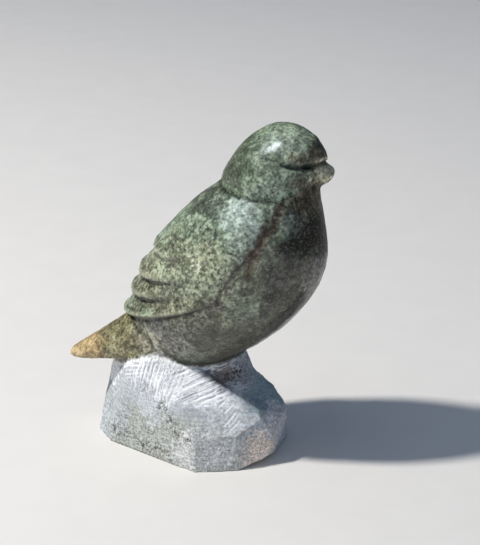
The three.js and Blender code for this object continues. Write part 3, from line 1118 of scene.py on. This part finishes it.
rockMarks = {
    "spots": (0.43, 0.33),
    "chips": (0.48, 0.36),
    "chipsFrom": (0.55, 0.95),  # chips lie only where specks gather
    "speckStrength": 0.9,
    "speckShade": (0.3, 0.27, 0.25),  # what is left of the colour in a speck
    "levelScratches": (120.0, 120.0, 1700.0),  # waves per metre, along each axis
    "levelRange": (0.3, 0.7),
    "levelShade": (0.88, 1.1),
    "scratchAlong": 110.0,  # waves per metre along a slanting scratch and across it
    "scratchAcross": 2300.0,
    "scratchBump": 1.5,
}

paleStone = (0.04, 0.14)  # how bright stone has to be for flakes, and too bright for sparks


def soapstone():
    finish = bpy.data.materials.new("soapstone")
    finish.use_nodes = True
    tree = finish.node_tree
    shader = tree.nodes["Principled BSDF"]
    place = put(tree, "ShaderNodeTexCoord").outputs["Object"]

    def layer(name, output="Fac"):
        return put(tree, "ShaderNodeAttribute", attribute_name=name).outputs[output]

    def grains(name):
        size, detail, rough = grainSizes[name]
        return noisy(tree, place, 1.0 / (size * mm), detail, rough)

    def mark(colour, name, pattern, *limits):
        kind = marks[name]
        if "range" in kind:
            pattern = ease(tree, pattern, *kind["range"])
        return mix(tree, times(tree, pattern, *limits, kind["strength"]), colour, kind["colour"])

    tint, rock, grain = layer("tint", "Color"), layer("rock"), layer("grain")
    matt, polish = layer("matt"), layer("polish")
    fine, middle = grains("fine"), grains("middle")
    onBird = calc(tree, "SUBTRACT", 1.0, rock)

    # speckle
    spread = times(tree, swing(tree, middle, grainSwing["middle"]), onBird)
    spread = calc(tree, "ADD", spread, swing(tree, fine, grainSwing["fine"]))
    dustiness = ease(tree, rock, 0.0, 1.0, grainSwing["dust"], grainSwing["rockDust"])
    spread = calc(tree, "ADD", spread, swing(tree, grains("dust"), dustiness))
    smudge = times(tree, swing(tree, grains("cloud"), grainSwing["cloud"]), onBird)
    spread = calc(tree, "ADD", times(tree, spread, grain), smudge)
    most = ease(tree, rock, 0.0, 1.0, grainSwing["most"], grainSwing["rockMost"])
    colour = scaled(tree, tint, calc(tree, "POWER", 2.0, calc(tree, "MINIMUM", spread, most)))

    # the bird has white flakes on pale stone, pale sparks on dark stone, and dark dots
    pale = ease(tree, put(tree, "ShaderNodeRGBToBW", {"Color": tint}).outputs["Val"], *paleStone)
    colour = mark(colour, "flakes", spread, onBird, pale)
    colour = mark(colour, "sparks", grains("sparks"), onBird, calc(tree, "SUBTRACT", 1.0, pale))
    colour = mark(colour, "dots", grains("dots"), onBird, grain)

    # the rock has dark specks, level scratches all over, and zones of slanting ones
    spots = times(tree, ease(tree, grains("spots"), *rockMarks["spots"]), rock, grain)
    chips = times(tree, ease(tree, grains("chips"), *rockMarks["chips"]), rock)
    chips = times(tree, chips, ease(tree, grain, *rockMarks["chipsFrom"]))
    specked = times(tree, calc(tree, "MAXIMUM", spots, chips), rockMarks["speckStrength"])
    colour = mix(tree, specked, colour, vectorCalc(tree, "MULTIPLY", colour, rockMarks["speckShade"]))
    level = noisy(tree, vectorCalc(tree, "MULTIPLY", place, rockMarks["levelScratches"]), 1.0, 2.0)
    shade = ease(tree, level, *rockMarks["levelRange"], *rockMarks["levelShade"])
    colour = mix(tree, rock, colour, scaled(tree, colour, shade))
    for name, zone in scratchZones.items():
        along = Vector(zone["along"]).normalized()
        drawnOut = rockMarks["scratchAlong"] - rockMarks["scratchAcross"]
        run = times(tree, vectorCalc(tree, "DOT_PRODUCT", place, along), drawnOut)
        wide = scaled(tree, place, rockMarks["scratchAcross"])
        lines = noisy(tree, vectorCalc(tree, "ADD", wide, scaled(tree, along, run)), 1.0, 1.0)
        zoned = layer(name)
        colour = mark(colour, "paleScratches", lines, zoned)
        colour = mark(colour, "dullScratches", lines, zoned)

    # painted shade in crevices, then wear and the fresh cut
    colour = mark(colour, "paintedCreviceShade", layer("paintedCreviceShade"))
    colour = mark(colour, "worn", layer("worn"))
    colour = mark(colour, "freshCut", layer("stroke"))
    feed(tree, shader.inputs["Base Color"], colour)

    # the bird is waxed, and the rock is matt
    coat = calc(tree, "MAXIMUM", ease(tree, middle, *wax["thickening"], wax["thin"], wax["thick"]), polish)
    uneven = calc(tree, "MULTIPLY_ADD", times(tree, level, rock), rockMarks["scratchBump"], fine)
    bump = {"Strength": wax["bump"], "Distance": wax["bumpHeight"] * mm, "Height": uneven}
    surface = {
        "Roughness": ease(tree, rock, 0.0, 1.0, wax["roughness"], wax["rockRoughness"]),
        "Specular IOR Level": ease(tree, matt, 0.0, 1.0, wax["specular"], wax["mattSpecular"]),
        "Coat Weight": times(tree, calc(tree, "SUBTRACT", 1.0, matt), coat),
        "Coat Roughness": ease(tree, polish, 0.0, wax["polish"], wax["sheen"], wax["polishedSheen"]),
        "Coat IOR": wax["refraction"],
        "Normal": put(tree, "ShaderNodeBump", bump).outputs["Normal"],
    }
    for name, value in surface.items():
        feed(tree, shader.inputs[name], value)
    return finish


def makeCarving():
    even, skin = roughOut()
    print("rough form", len(even.polygons), "faces")
    rubForm(even, skin)
    fineAreas(even)
    trueEdges(even, skin)
    print("form rubbed smooth", len(even.polygons), "faces")
    carveDetails(even)
    colourStone(even)
    print("stone coloured")
    finish = soapstone()
    even.materials.append(finish)
    piece = bpy.data.objects.new("birdCarving", even)
    scene.collection.objects.link(piece)
    raspRock(piece, finish)
    piece.data.polygons.foreach_set("use_smooth", [True] * len(piece.data.polygons))
    piece.data.calc_loop_triangles()
    print("carving done", len(piece.data.loop_triangles), "triangles")
    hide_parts(carving["node"])
    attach(piece, "root")


makeCarving()
